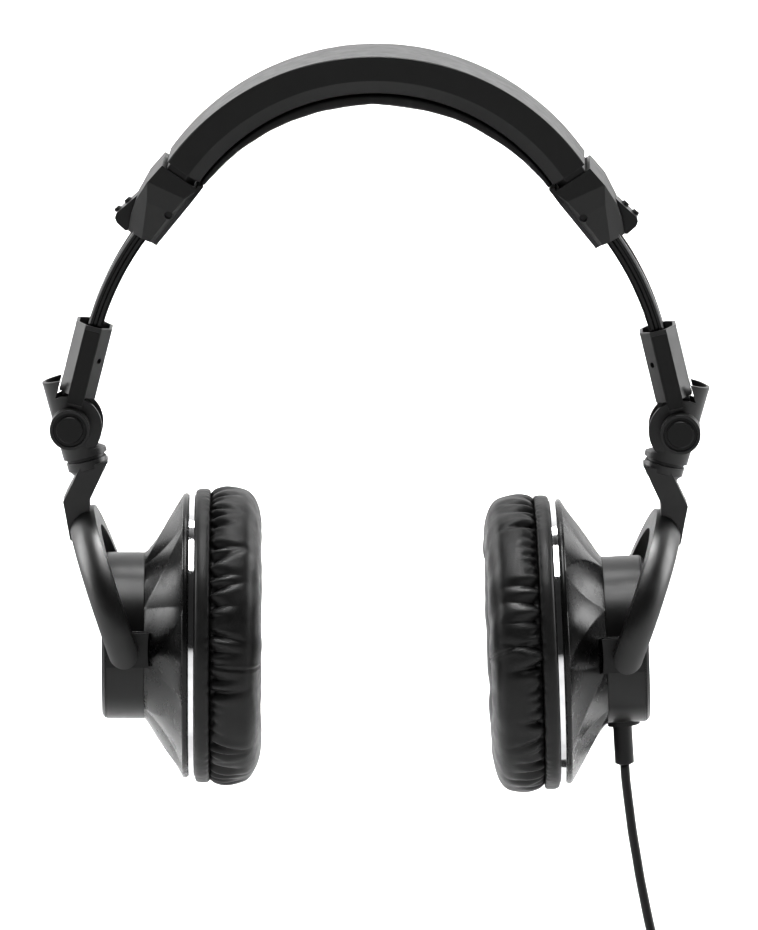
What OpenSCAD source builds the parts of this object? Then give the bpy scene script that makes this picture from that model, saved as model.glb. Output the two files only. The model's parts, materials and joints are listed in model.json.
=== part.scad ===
// Folding closed-back over-ear headphones.
// The origin is where the underside of the headband pad rests on the head.
// +X is the wearer's left, +Y points to the back of the head, +Z is up.
// Every side module draws the +X side, and side(-1) mirrors it.

/* [Headband] */
// Outer radius of the headband arc
band_r = 79.4; // [78:0.1:81]
// Width of the headband, front to back
band_w = 32; // [30:0.5:33]
// Thickness of the foam pad at the top of the head
pad_t = 4.2; // [4:0.1:4.4]
// Half the angle that the headband shell spans
band_end = 54.6; // [54:0.1:54.8]

/* [Sliders] */
// Radius of the slider bars' outer face
slider_r = 93.3; // [93:0.1:93.4]
// Width of the slider bars, front to back
slider_w = 13; // [12:0.5:13]

/* [Hinges] */
// Radius of the round fold boss
boss_r = 6.25; // [6:0.05:6.4]
// Length of the fold boss, front to back
boss_w = 25; // [24.6:0.2:26]
// Radius of the fold pin
pin_r = 2.5; // [2:0.1:2.6]

/* [Ear cups] */
// Radius of the cup's rim
cup_r = 44.7; // [44.4:0.1:44.8]
// Radius of the round hub behind the cup
hub_r = 26.1; // [25.9:0.1:26.2]
// Outer radius of the ear pad
ear_pad_r = 46.4; // [46:0.1:46.6]
// Radius of the opening in the ear pad
ear_hole_r = 25; // [24:0.5:27]
// Rest swivel of the cup at -X, in degrees
left_swivel = 1.25; // [-2:0.25:2]
// Rest swivel of the cup at +X, in degrees
right_swivel = 1.75; // [-2:0.25:2]
// Rest tilt of the cup at +X, in degrees
right_tilt = -2.5; // [-3:0.25:0]

/* [Lead] */
// Diameter of the lead
cord_d = 3; // [2.6:0.1:3.2]
// Radius of the jack pin
jack_r = 1.75; // [1.25:0.5:1.75]

/* [Hidden] */
$fn = 96;

plastic = [0.12, 0.12, 0.12];
dark = [0.06, 0.06, 0.06];
leather = [0.09, 0.09, 0.09];
metal = [0.75, 0.75, 0.76];
far = 200; // longer than the whole part
gap = 0.05; // between fixed pieces
run = 0.06; // radial clearance of a running fit

// Headband arc, about (0, band_z)
lip_r = 67.5; // inner edge of the shell's side walls
band_z = pad_t - lip_r;
skin_r = band_r - 3.4; // inner face of the shell's outer wall
wall_y = 11.2; // inner face of the shell's side walls
neck_end = 57.4; // the shell's ends reach this angle, inside the end caps
spring_r = 75.4;
pad_arc_r = 68.8; // radius of the pad's underside, flatter than the band

// End caps, in a frame turned to cap_mid
cap_mid = 65;
cap_top_y = 16; // half the depth at the headband
cap_low_y = 9; // half the depth at the slider
cap_chamfer = 0.8; // depth of the chamfers below their edges

// Sliders run about (0, slide_z)
slide_z = -95.5;
slider_in_r = slider_r - 4.6;
tail_in_r = slider_r - 2;
tail_start = 46.5; // angles at rest
bar_start = 52;
bar_end = 80;
retract = 8.5; // degrees of travel, with a little to spare

// Fold pin, along Y
fold = [95.2, 0, -102.5];
arm_lean = 13.8;
arm_top = 32.9; // above the pin, along the arm
arm_low = 10.4; // the full-width part starts here
lip_low = 7; // the thin front and rear lips start here
tongue_r = 5;
tongue_y = 4.6;
lip_y = 7.95;
arm_y = 9;
tube_r = 7.6;
cheek_y = 6.9; // half the depth of the barrel's cheeks

// Tilt pivot, and the swivel axis, which leans outward
pivot = [78.4, 0, -169.4];
swivel_foot = [76.4, 0, -169.4];
swivel_lean = 14.1;
barrel_base = 58.9; // from the foot up to the barrel's lower end
barrel_h = 25.6;
stem_r = 4;
clip_seat = 2.6; // height of the spring clip's seat above the barrel's lower end

// Yoke, in a plane that leans outward
yoke_lean = 19.5;
yoke_top = 6; // the half ring's centre above the pivot
arm_in = 29.3; // inner face of the yoke's arms
arm_out = 36.3;
yoke_t = 9.2;
pivot_r = 2.5;
tip_r = 4.7;

// Cup, along X
hub_in = 72;
hub_out = 85.2;
rim_in = 58.3;
rim_out = 59.8;
ring_in = 56.2;
ring_r = 44.2;
baffle_in = 52;
driver_r = 25;
pad_back = 51.8;
pad_face = 35.5;
screw_count = 4;

// Socket in the hub of the +X cup
socket_x = 76.6;
socket_lean = 1.5;
socket_z = -195.2; // the hub's underside at the socket
plug_len = 12.6;
plug_r = 3;
socket_pin_r = 1.25;
flange_r = 5.6;

// The lead's route below its plug, and the coil's centre
cord_route = [
  [78.72, 0.4, -209.45], [79, 0.4, -213.4], [79.6, 0.3, -218.5], [80.4, 0.2, -224.5],
  [81.3, 0.1, -231], [82.5, 0, -238], [83.8, -0.1, -245.5], [85.3, -0.2, -253],
  [86.9, -0.4, -260.5], [88.7, -1, -267.5], [90.1, -1.9, -273], [91.1, -2.8, -277.2]
];
coil_at = [75.5, 0, -292];
coil_in = 13.4;
coil_out = 19.6;
coil_y = 7.8; // half the coil's width
tail_route = [
  [91.2, 9.4, -289], [91.4, 9.4, -294], [91.4, 9.4, -299.5],
  [91.2, 9.2, -305], [90.8, 9, -310.5], [90.4, 8.8, -316]
];
jack_at = [90.4, 8.8, -316];

// ---- helpers ----

// Children drawn at +X, mirrored for the other side
module side(s) {
  if (s > 0)
    children();
  else
    mirror([1, 0, 0]) children();
}

// Sweeps a profile (radius, Y) about an axis along Y at height z, from angle a to b off vertical
module arc(z, a, b) {
  translate([0, 0, z])
    rotate([90, 0, 0])
      rotate([0, 0, 90 - b])
        rotate_extrude(angle = b - a, $fn = 180) children();
}

// A flat shape in (X, Z), made half_y deep to each side of Y = 0
module slab(half_y) {
  rotate([90, 0, 0]) linear_extrude(2 * half_y, center = true) children();
}

// A cylinder along Y
module bar_y(r, half_y, at = [0, 0, 0]) {
  translate(at) rotate([90, 0, 0]) cylinder(r = r, h = 2 * half_y, center = true);
}

// Turns a profile (distance along X, radius) about the cup's axis
module turned() {
  translate([0, 0, pivot[2]])
    rotate([0, 90, 0])
      rotate_extrude($fn = 120) mirror([1, -1, 0]) children();
}

// A ring about the cup's axis
module disc(x0, x1, r, hole = 0) {
  translate([x0, 0, pivot[2]])
    rotate([0, 90, 0])
      difference() {
        cylinder(r = r, h = x1 - x0);
        if (hole > 0)
          translate([0, 0, -1]) cylinder(r = hole, h = x1 - x0 + 2);
      }
}

module at_cap() { translate([0, 0, band_z]) rotate([0, cap_mid, 0]) children(); }

module at_arm() { translate(fold) rotate([0, -arm_lean, 0]) children(); }

// Z runs up the swivel axis from its foot
module at_swivel() { translate(swivel_foot) rotate([0, swivel_lean, 0]) children(); }

// Turns children by the rest swivel, about the swivel axis
module swivelled(s) {
  turn = s > 0 ? right_swivel : left_swivel;
  translate(swivel_foot)
    rotate([0, swivel_lean, 0])
      rotate([0, 0, turn * s])
        rotate([0, -swivel_lean, 0]) translate(-swivel_foot) children();
}

// Turns children by the rest tilt too, about the tilt pivot
module cupped(s) {
  swivelled(s)
    translate(pivot)
      rotate([0, s > 0 ? right_tilt : 0, 0]) translate(-pivot) children();
}

// A tube with flat ends along a list of points, n sides
function unit(v) = v / norm(v);
function heading(p, i) = unit(p[min(i + 1, len(p) - 1)] - p[max(i - 1, 0)]);
function ring_at(p, i, r, n) =
  let (t = heading(p, i), u = unit(cross(t, [0, 1, 0])), v = cross(t, u))
  [for (k = [0:n - 1]) p[i] + r * (cos(360 * k / n) * u + sin(360 * k / n) * v)];
module tube(p, r, n = 8) {
  count = len(p);
  points = [for (i = [0:count - 1]) each ring_at(p, i, r, n)];
  sides = [
    for (i = [0:count - 2], k = [0:n - 1])
      let (a = i * n + k, b = i * n + (k + 1) % n)
      [a, b, b + n, a + n]
  ];
  polyhedron(points, concat(
    [[for (k = [n - 1:-1:0]) k]],
    sides,
    [[for (k = [0:n - 1]) (count - 1) * n + k]]
  ));
}

// ---- headband ----

module shell_profile(inset = 0) {
  o = band_r - inset;
  i = lip_r + inset;
  w = band_w / 2 - inset;
  polygon([
    [o, -w + 0.3], [o, w - 0.3], [o - 0.3, w], [71.7, w], [i, w - 3], [i, wall_y],
    [skin_r, wall_y], [skin_r, -wall_y], [i, -wall_y], [i, -w + 3], [71.7, -w], [o - 0.3, -w]
  ]);
}

module headband_shell() {
  color(plastic) {
    arc(band_z, -band_end, band_end) shell_profile();
    arc(band_z, -neck_end, neck_end) shell_profile(1);
  }
}

// Sprung steel strip inside the shell, held by the end caps
module headband_spring() {
  color(metal) arc(band_z, -61, 61) translate([spring_r - 1, -9]) square([1, 18]);
}

module headband_pad() {
  color(leather)
    difference() {
      union() {
        arc(band_z, -50, 50) translate([66, -wall_y + 0.4]) square([8, 2 * wall_y - 0.8]);
        arc(band_z, -band_end + 0.2, band_end - 0.2)
          translate([60, -12.6]) square([7.2, 25.2]);
      }
      bar_y(pad_arc_r, far / 2, [0, 0, -pad_arc_r]);
    }
}

// ---- end caps ----

// Space for the slider over its whole travel
module slider_channel(clear = 0.35) {
  arc(slide_z, bar_start - retract, bar_end)
    translate([slider_in_r - clear, -slider_w / 2 - clear])
      square([4.6 + 2 * clear, slider_w + 2 * clear]);
  arc(slide_z, tail_start - retract, bar_end)
    translate([tail_in_r - clear, -slider_w / 2 - clear])
      square([2 + 2 * clear, slider_w + 2 * clear]);
}

// Points in the cap's frame, along the band and away from its centre
cap_outline = [
  [-12.5, 79.1], [-5.7, 81.1], [1.4, 81.7], [7, 81.1], [12.05, 79.7], [11.75, 71.1], [-10.5, 66.2]
];

module cap_body() {
  at_cap()
    difference() {
      intersection() {
        slab(cap_top_y + 1) polygon(cap_outline);
        translate([0, 0, 60])
          linear_extrude(30)
            polygon([
              [-14, -cap_top_y], [-6, -cap_top_y], [0, -14.2], [13, -cap_low_y],
              [13, cap_low_y], [0, 14.2], [-6, cap_top_y], [-14, cap_top_y]
            ]);
      }
      // Facets that widen towards the slider, on the outer edges
      for (m = [0, 1])
        mirror([0, m, 0])
          translate([-6, cap_top_y, 81.1])
            rotate([0, 53.7, 55.8]) translate([-30, -30, 0]) cube([60, 60, 20]);
      // Chamfers along the inner edges of the front and rear faces
      for (m = [0, 1])
        mirror([0, m, 0])
          translate([-6, cap_top_y, 67.2])
            rotate([0, 131.8, 59.2]) translate([-30, -30, -cap_chamfer]) cube([60, 60, 20]);
    }
}

module cap_cover_body(grow = 0) {
  at_cap()
    intersection() {
      slab(cap_top_y - 1.3 + grow)
        polygon([
          [-11.6, 64.6 - grow], [12.1, 69.8 - grow], [11.9, 71.6 + grow], [-11.4, 66.4 + grow]
        ]);
      translate([0, 0, 60])
        linear_extrude(30)
          polygon([
            [-12, -14.7 - grow], [-6, -14.7 - grow], [12.3, -7.7 - grow],
            [12.3, 7.7 + grow], [-6, 14.7 + grow], [-12, 14.7 + grow]
          ]);
    }
}

module cap_screw_hole(r, y0, y1) {
  at_cap()
    for (m = [0, 1])
      mirror([0, m, 0])
        translate([1, y0, 70.6]) rotate([-90, 0, 0]) cylinder(r = r, h = y1 - y0);
}

module end_cap() {
  color(plastic)
    difference() {
      cap_body();
      arc(band_z, 50, neck_end + 0.3)
        translate([lip_r + 0.7, -15.3]) square([10.5, 30.6]);
      arc(band_z, 50, 61.3)
        translate([spring_r - 1.2, -9.2]) square([1.4, 18.4]);
      slider_channel();
      cap_cover_body(gap);
      cap_screw_hole(1.25, 8.5, 20);
      click_screw_shafts(0.6);
    }
}

module cap_cover() {
  color(plastic)
    difference() {
      cap_cover_body();
      arc(band_z, 40, neck_end + 0.3) translate([lip_r + 0.7, -15.3]) square([10.5, 30.6]);
      slider_channel();
    }
}

// Where the click cover's two screws stand, along its upper slope
click_screw_at = [[4.2, 83.3], [8, 85]];

module click_screw_shafts(r) {
  at_cap()
    for (p = click_screw_at)
      translate([p[0], 0, p[1]])
        rotate([0, -24, 0]) translate([0, 0, -5]) cylinder(r = r, h = 6, $fn = 24);
}

// Two button-head screws in the click cover and one screw in each face of the cap
module cap_screws() {
  color(metal) {
    at_cap()
      for (p = click_screw_at)
        translate([p[0], 0, p[1]])
          rotate([0, -24, 0]) {
            cylinder(r1 = 1.35, r2 = 1, h = 1, $fn = 32);
            translate([0, 0, -3]) cylinder(r = 0.6 - gap, h = 3.1, $fn = 24);
          }
    cap_screw_hole(1.2, 8.5, 12);
  }
}

// Wedge over the click spring, on the outer face of the cap
module click_cover() {
  color(plastic)
    difference() {
      at_cap()
        slab(5)
          polygon([
            [0.6, 81.72], [8.6, 85.2], [10.2, 85.1], [11.3, 84], [12.4, 80.5], [12.05, 79.75],
            [7, 81.15], [1.4, 81.75]
          ]);
      click_screw_shafts(0.6);
    }
}

// ---- sliders and hinge arms ----

module slider_bar() {
  h = slider_w / 2;
  m = (slider_r + slider_in_r) / 2;
  color(plastic)
    difference() {
      union() {
        arc(slide_z, bar_start, bar_end - 1)
          polygon([
            [slider_in_r, -h + 0.8], [slider_in_r, h - 0.8], [slider_in_r + 0.8, h],
            [m - 0.6, h], [m - 0.2, h - 0.5], [m + 0.6, h - 0.5], [m + 1, h],
            [slider_r - 0.6, h], [slider_r, h - 0.6],
            [slider_r, 2.6], [slider_r - 0.5, 2.2], [slider_r - 0.5, -2.2], [slider_r, -2.6],
            [slider_r, -h + 0.6], [slider_r - 0.6, -h],
            [m + 1, -h], [m + 0.6, -h + 0.5], [m - 0.2, -h + 0.5], [m - 0.6, -h],
            [slider_in_r + 0.8, -h]
          ]);
        arc(slide_z, tail_start, bar_start + 0.5)
          translate([tail_in_r, -h + 0.6]) square([2, slider_w - 1.2]);
      }
      at_arm() translate([-far / 2, -far / 2, -far]) cube([far, far, far + arm_low + 1.5]);
    }
}

// Section of the arm: along X across it, and Y
arm_section = [
  [-5.3, -4.6], [-2.1, -arm_y], [3.05, -arm_y], [6.2, -4.6],
  [6.2, 4.6], [3.05, arm_y], [-2.1, arm_y], [-5.3, 4.6]
];

module arm_insert_space(grow) {
  at_arm()
    for (m = [0, 1])
      mirror([0, m, 0])
        translate([-1.8 - grow, -arm_y - grow, lip_low + 0.7 - grow])
          cube([4.6 + 2 * grow, 0.5 + grow, arm_top - lip_low - 2.1 + 2 * grow]);
}

module hinge_arm() {
  color(plastic)
    difference() {
      at_arm()
        difference() {
          union() {
            translate([0, 0, arm_low]) linear_extrude(arm_top - arm_low) polygon(arm_section);
            // Thin lips that pass in front of and behind the barrel
            for (y = [-1, 1])
              translate([-2.1, y * (arm_y + lip_y) / 2 - (arm_y - lip_y) / 2, lip_low])
                cube([5.15, arm_y - lip_y, arm_low - lip_low + 0.5]);
            // Tongue on the fold pin
            translate([-tongue_r, -tongue_y, 0]) cube([2 * tongue_r, 2 * tongue_y, arm_low + 0.5]);
            bar_y(tongue_r, tongue_y);
          }
          // Open mouth round the slider
          translate([0, 0, arm_top - 3])
            linear_extrude(4)
              polygon([
                [-4.3, -4.2], [-1.6, -8], [2.6, -8], [5.2, -4.2],
                [5.2, 4.2], [2.6, 8], [-1.6, 8], [-4.3, 4.2]
              ]);
          // Recess in the inner face
          translate([-6.3, -3.4, arm_low + 3]) cube([1.9, 6.8, 14]);
          // Pin holes in the inner facets
          for (m = [0, 1])
            mirror([0, m, 0])
              translate([-3.7, -6.8, 22.5])
                rotate([0, 0, 35.4]) rotate([0, -90, 0])
                  translate([0, 0, -1.6]) cylinder(r = 0.9, h = 6, $fn = 32);
          bar_y(pin_r + run, tongue_y + 1);
        }
      arc(slide_z, bar_start + 10, bar_end - 0.9)
        translate([slider_in_r - gap, -slider_w / 2 - gap])
          square([4.6 + 2 * gap, slider_w + 2 * gap]);
      arm_insert_space(gap);
    }
}

module arm_inserts() {
  color(dark) arm_insert_space(0);
}

// ---- fold hinge ----

// Everything the arm sweeps as the barrel folds, in the barrel's own frame
module arm_sweep(r0, half_y, edge, reach = 40) {
  translate(fold)
    difference() {
      rotate([90, 0, 0])
        linear_extrude(2 * half_y, center = true)
          polygon([
            [edge * cos(arm_lean), edge * sin(arm_lean)],
            [edge * cos(arm_lean) - reach * sin(arm_lean), edge * sin(arm_lean) + reach * cos(arm_lean)],
            [-reach, reach],
            [-reach, -edge - 1],
            [0, -edge]
          ]);
      bar_y(r0, half_y + 1);
    }
}

module hinge_barrel() {
  color(plastic)
    difference() {
      union() {
        at_swivel() translate([0, 0, barrel_base]) cylinder(r1 = 6.95, r2 = tube_r, h = barrel_h);
        bar_y(boss_r, boss_w / 2, fold);
        // Cheeks that fill out the inner side beside the tongue
        intersection() {
          at_swivel() translate([-8, -cheek_y, barrel_base + 3]) cube([8, 2 * cheek_y, 15]);
          bar_y(arm_low - 0.5, cheek_y, fold);
        }
      }
      // Hollow top, and the bearing for the yoke's stem
      at_swivel() {
        translate([0, 0, barrel_base + 11]) cylinder(r = tube_r - 1.1, h = barrel_h);
        translate([0, 0, barrel_base - 1]) cylinder(r = stem_r + run, h = 8);
        translate([0, 0, barrel_base + clip_seat]) cylinder(r = 5.2, h = 6 - clip_seat);
      }
      // Slot for the tongue, and room for the full-width arm
      bar_y(tongue_r + 0.35, tongue_y + 0.35, fold);
      arm_sweep(1, tongue_y + 0.35, tongue_r + 0.2);
      arm_sweep(arm_low - 0.4, arm_y + 1, 6.2 + 0.4);
      bar_y(pin_r, far / 2, fold);
      for (y = [-1, 1])
        bar_y(5.35, 1, fold + [0, y * (boss_w / 2), 0]);
    }
}

module fold_pin() {
  color(metal) bar_y(pin_r - gap / 2, boss_w / 2 - 1.1, fold);
}

module pin_caps() {
  color(dark)
    for (y = [-1, 1])
      translate(fold + [0, y * (boss_w / 2 - 1 + gap), 0])
        rotate([y * -90, 0, 0])
          rotate_extrude()
            polygon([[0, 0], [5.3, 0], [5.3, 0.35], [4.3, 0.4], [4.2, 1.1], [3.9, 1.35], [0, 1.35]]);
}

// Washer under the barrel, and the spring clip above its bearing
module swivel_rings() {
  color(dark)
    at_swivel() {
      translate([0, 0, barrel_base - 1.15])
        difference() {
          cylinder(r = 6, h = 1);
          translate([0, 0, -1]) cylinder(r = stem_r + gap, h = 3);
        }
      translate([0, 0, barrel_base + clip_seat + 0.1])
        difference() {
          cylinder(r = 4.9, h = 0.6);
          translate([0, 0, -1]) cylinder(r = 3.3, h = 3);
        }
    }
}

// ---- yokes ----

// Across the ring: distance from its axis, and outward, where it rounds off more
module yoke_section() {
  intersection() {
    translate([arm_in, -yoke_t / 2]) square([arm_out - arm_in, yoke_t]);
    translate([29, -1.8]) circle(r = 7.3);
  }
}

module yoke_fork() {
  translate(pivot)
    rotate([0, yoke_lean, 0]) {
      // Half ring over the top, in the plane of Y and Z
      translate([0, 0, yoke_top])
        rotate([90, 0, 90]) rotate_extrude(angle = 180, $fn = 160) yoke_section();
      for (m = [0, 1])
        mirror([0, m, 0]) {
          // Straight leg, rounded off round the tilt pin
          intersection() {
            translate([0, 0, -tip_r])
              rotate([0, 0, 90]) linear_extrude(yoke_top + tip_r) mirror([0, 1]) yoke_section();
            union() {
              translate([-10, 0, 0]) cube([20, 60, 20]);
              rotate([-90, 0, 0]) cylinder(r = tip_r, h = 60);
            }
          }
        }
    }
}

// Bent bar from the neck to the ring, seen from the front
neck_outline = [
  [83.6, -113.4], [89.2, -125.4], [89.3, -134.5], [93.8, -139.5],
  [95.4, -138.2], [97.6, -126.3], [92.2, -115.2]
];

module yoke() {
  color(plastic)
    difference() {
      union() {
        yoke_fork();
        slab(6) polygon(neck_outline);
        at_swivel() {
          translate([0, 0, barrel_base - 3.9]) cylinder(r = 6.4, h = 2.7);
          translate([0, 0, barrel_base - 6]) cylinder(r1 = 4.6, r2 = 6.2, h = 2.2);
          translate([0, 0, barrel_base - 4]) cylinder(r = stem_r, h = 4 + clip_seat);
          translate([0, 0, barrel_base + 2]) cylinder(r = 3.25, h = clip_seat - 1);
        }
      }
      // Flat above the washer seat
      at_swivel()
        translate([0, 0, barrel_base - 1.2])
          difference() {
            cylinder(r = 20, h = 12);
            translate([0, 0, -1]) cylinder(r = stem_r, h = 14);
          }
      // Clear inside the ring
      translate(pivot)
        rotate([0, yoke_lean, 0])
          translate([0, 0, yoke_top])
            rotate([0, 90, 0]) cylinder(r = arm_in, h = 20, center = true);
      translate(pivot)
        rotate([0, yoke_lean, 0])
          for (m = [0, 1])
            mirror([0, m, 0])
              translate([0, 34.3, 0])
                rotate([90, 0, 0]) cylinder(r = pivot_r + run, h = 10);
    }
}

module pivot_pins() {
  color(metal)
    for (m = [0, 1])
      mirror([0, m, 0])
        translate([pivot[0], 34, pivot[2]]) rotate([90, 0, 0]) cylinder(r = pivot_r, h = 9.4);
}

// ---- cups ----

module hub_housing(socket) {
  color(plastic)
    difference() {
      union() {
        disc(hub_in, hub_out - 1.4, hub_r);
        // Flat bosses for the tilt pins
        translate([70, -28.5, pivot[2] - 5.5]) cube([hub_out - 1.4 - 70, 57, 11]);
      }
      disc(hub_in - 3, hub_out - 4.5, hub_r - 2.4);
      disc(hub_out - 3.5, hub_out, hub_r - 1.2);
      translate([pivot[0], 0, pivot[2]])
        rotate([90, 0, 0]) cylinder(r = pivot_r + gap / 2, h = 80, center = true);
      // Seat on the cone
      turned()
        polygon([[60, 0], [60, cup_r], [rim_out, cup_r + 0.4], [hub_in + gap, hub_r + 0.4], [hub_in + gap, 0]]);
      if (socket)
        at_socket()
          translate([0, 0, -8]) {
            cylinder(r = 4.2, h = 16);
            cylinder(r = flange_r + gap, h = 8.4 + gap);
          }
    }
}

module hub_cover() {
  color(plastic)
    turned()
      polygon([
        [hub_out - 3.4, 0], [hub_out - 3.4, hub_r - 1.3], [hub_out - 1.3, hub_r - 1.3],
        [hub_out - 1.3, hub_r - 0.2], [hub_out - 0.9, hub_r - 0.2], [hub_out, hub_r - 1.3],
        [hub_out, hub_r - 4], [hub_out - 0.6, hub_r - 4.6], [hub_out - 0.6, 0]
      ]);
}

module cup_shell() {
  color(plastic)
    turned()
      polygon([
        [rim_in, cup_r - 0.5], [rim_in + 0.5, cup_r], [rim_out - 0.3, cup_r], [rim_out + 0.2, cup_r - 0.3],
        [hub_in, hub_r], [hub_in, 12], [hub_in - 1.8, 12], [hub_in - 1.8, hub_r - 2.6],
        [rim_out + 0.6, cup_r - 3.6], [rim_in, cup_r - 3.6]
      ]);
}

module trim_ring() {
  color([0.9, 0.9, 0.9])
    turned()
      polygon([
        [ring_in + gap, 40], [ring_in + gap, ring_r - 0.1], [ring_in + 0.25, ring_r],
        [rim_in - gap - 0.2, ring_r], [rim_in - gap, ring_r - 0.2], [rim_in - gap, 40]
      ]);
}

// Moulded plate that carries the driver and the ear pad
module baffle() {
  color(dark)
    difference() {
      disc(baffle_in, ring_in, cup_r - 1.2, driver_r + gap);
      cup_screw_shafts(1);
    }
}

module cup_screw_shafts(r) {
  for (k = [0:screw_count - 1])
    translate([0, 0, pivot[2]])
      rotate([45 + 360 / screw_count * k, 0, 0])
        translate([baffle_in - 1, 0, 38.4]) rotate([0, 90, 0]) cylinder(r = r, h = 9, $fn = 32);
}

module cup_screws() {
  color(metal)
    intersection() {
      cup_screw_shafts(1 - gap);
      disc(baffle_in + 0.1, 60, cup_r);
    }
}

module driver_frame() {
  color(dark)
    difference() {
      union() {
        disc(baffle_in, ring_in, driver_r);
        disc(ring_in, 61, 16);
      }
      disc(baffle_in - 1, 54, 22);
      disc(53, 62, 12.1);
    }
}

module driver_magnet() {
  color(metal) disc(56, 65, 12);
}

module diaphragm() {
  color([0.4, 0.4, 0.42])
    turned()
      difference() {
        polygon([[54.1, 0], [52.7, 10], [52.6, 11], [53.3, 16], [53.95, 21.9], [54, 12.2], [54.6, 0]]);
        translate([0, -1]) square([80, 1]);
      }
}

module ear_scrim() {
  color(dark) disc(pad_back + 0.02, baffle_in - 0.02, 30);
}

// Plain cushion, with the skirt that grips the baffle
module ear_pad() {
  color(leather)
    turned()
      difference() {
        polygon([
          [ring_in, cup_r - 1.15], [ring_in - 0.1, 45.5], [51.6, 45.6], [51.2, 45], [50.4, 46.2],
          [47, ear_pad_r], [40.5, ear_pad_r], [37.2, 44.6], [35.8, 40.6], [pad_face, 36],
          [36.4, 29.5], [39.5, ear_hole_r + 0.6], [44, ear_hole_r], [50, ear_hole_r + 1],
          [pad_back, ear_hole_r + 3], [pad_back, 43.5], [baffle_in, cup_r - 1.15]
        ]);
        translate([0, -1]) square([80, 1]);
      }
}

// ---- lead ----

module at_socket() {
  translate([socket_x, 0, socket_z]) rotate([0, socket_lean * -1, 0]) children();
}

module cable_socket() {
  color(dark)
    cupped(1)
      difference() {
        at_socket() {
          translate([0, 0, -1.2]) cylinder(r = flange_r, h = 1.6);
          translate([0, 0, -0.5]) cylinder(r = 4.15, h = 8);
          translate([0, 0, 2.4]) cylinder(r = 3.4, h = 13.6);
        }
        at_socket() translate([0, 0, -2]) cylinder(r = socket_pin_r + 0.1, h = 17.5);
        // Flat side of the flange, next to the cone
        translate([hub_in - 10 + gap, -10, socket_z - 10]) cube([10, 20, 20]);
      }
}

module cable_plug_pin() {
  color([0.85, 0.7, 0.35])
    cupped(1) at_socket() translate([0, 0, -4]) cylinder(r = socket_pin_r, h = 18);
}

module cable_plug_boot() {
  color(dark)
    cupped(1)
      at_socket()
        difference() {
          union() {
            translate([0, 0, -1.5 - plug_len + 0.5]) cylinder(r = plug_r, h = plug_len - 0.5);
            translate([0, 0, -1.5 - plug_len]) cylinder(r1 = plug_r - 0.9, r2 = plug_r, h = 0.5);
          }
          translate([0, 0, -4]) cylinder(r = socket_pin_r, h = 8);
        }
}

module cable() {
  color(dark) {
    tube(cord_route, cord_d / 2);
    tube(tail_route, cord_d / 2);
  }
}

module coil_profile(grow = 0) {
  translate([coil_in - grow, -coil_y - grow])
    square([coil_out - coil_in + 2 * grow, 2 * coil_y + 2 * grow]);
}

module cable_coil() {
  color(dark) translate(coil_at) rotate([90, 0, 0]) rotate_extrude() coil_profile();
}

module cable_tie() {
  color([0.15, 0.15, 0.15])
    translate(coil_at)
      rotate([90, 0, 0])
        rotate([0, 0, 83])
          rotate_extrude(angle = 14)
            difference() {
              coil_profile(1);
              coil_profile();
            }
}

module jack_boot() {
  color(dark)
    translate(jack_at) {
      translate([0, 0, -3]) cylinder(r1 = 3, r2 = 2.2, h = 3);
      translate([0, 0, -16]) cylinder(r = 3.4, h = 13);
    }
}

module jack_pin() {
  color([0.85, 0.7, 0.35])
    translate(jack_at) {
      translate([0, 0, -28.5]) cylinder(r = jack_r, h = 12.5);
      translate([0, 0, -30]) cylinder(r1 = 0.7, r2 = jack_r, h = 1.5);
    }
}

// ---- nodes ----

headband_shell();
headband_spring();
headband_pad();

side(-1) end_cap();  // left_end_cap
side(-1) cap_cover();  // left_cap_cover
side(-1) cap_screws();  // left_cap_screws
side(-1) click_cover();  // left_click_cover
side(-1) slider_bar();  // left_slider_bar
side(-1) hinge_arm();  // left_hinge_arm
side(-1) arm_inserts();  // left_arm_inserts
side(-1) hinge_barrel();  // left_hinge_barrel
side(-1) fold_pin();  // left_fold_pin
side(-1) pin_caps();  // left_pin_caps
side(-1) swivelled(-1) yoke();  // left_yoke
side(-1) swivel_rings();  // left_swivel_rings
side(-1) cupped(-1) hub_housing(false);  // left_hub_housing
side(-1) cupped(-1) hub_cover();  // left_hub_cover
side(-1) cupped(-1) pivot_pins();  // left_pivot_pins
side(-1) cupped(-1) cup_shell();  // left_cup_shell
side(-1) cupped(-1) trim_ring();  // left_trim_ring
side(-1) cupped(-1) baffle();  // left_baffle
side(-1) cupped(-1) driver_frame();  // left_driver_frame
side(-1) cupped(-1) driver_magnet();  // left_driver_magnet
side(-1) cupped(-1) diaphragm();  // left_diaphragm
side(-1) cupped(-1) ear_scrim();  // left_ear_scrim
side(-1) cupped(-1) cup_screws();  // left_cup_screws
side(-1) cupped(-1) ear_pad();  // left_ear_pad

end_cap();  // right_end_cap
cap_cover();  // right_cap_cover
cap_screws();  // right_cap_screws
click_cover();  // right_click_cover
slider_bar();  // right_slider_bar
hinge_arm();  // right_hinge_arm
arm_inserts();  // right_arm_inserts
hinge_barrel();  // right_hinge_barrel
fold_pin();  // right_fold_pin
pin_caps();  // right_pin_caps
swivelled(1) yoke();  // right_yoke
swivel_rings();  // right_swivel_rings
cupped(1) hub_housing(true);  // right_hub_housing
cupped(1) hub_cover();  // right_hub_cover
cupped(1) pivot_pins();  // right_pivot_pins
cupped(1) cup_shell();  // right_cup_shell
cupped(1) trim_ring();  // right_trim_ring
cupped(1) baffle();  // right_baffle
cupped(1) driver_frame();  // right_driver_frame
cupped(1) driver_magnet();  // right_driver_magnet
cupped(1) diaphragm();  // right_diaphragm
cupped(1) ear_scrim();  // right_ear_scrim
cupped(1) cup_screws();  // right_cup_screws
cupped(1) ear_pad();  // right_ear_pad

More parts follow.
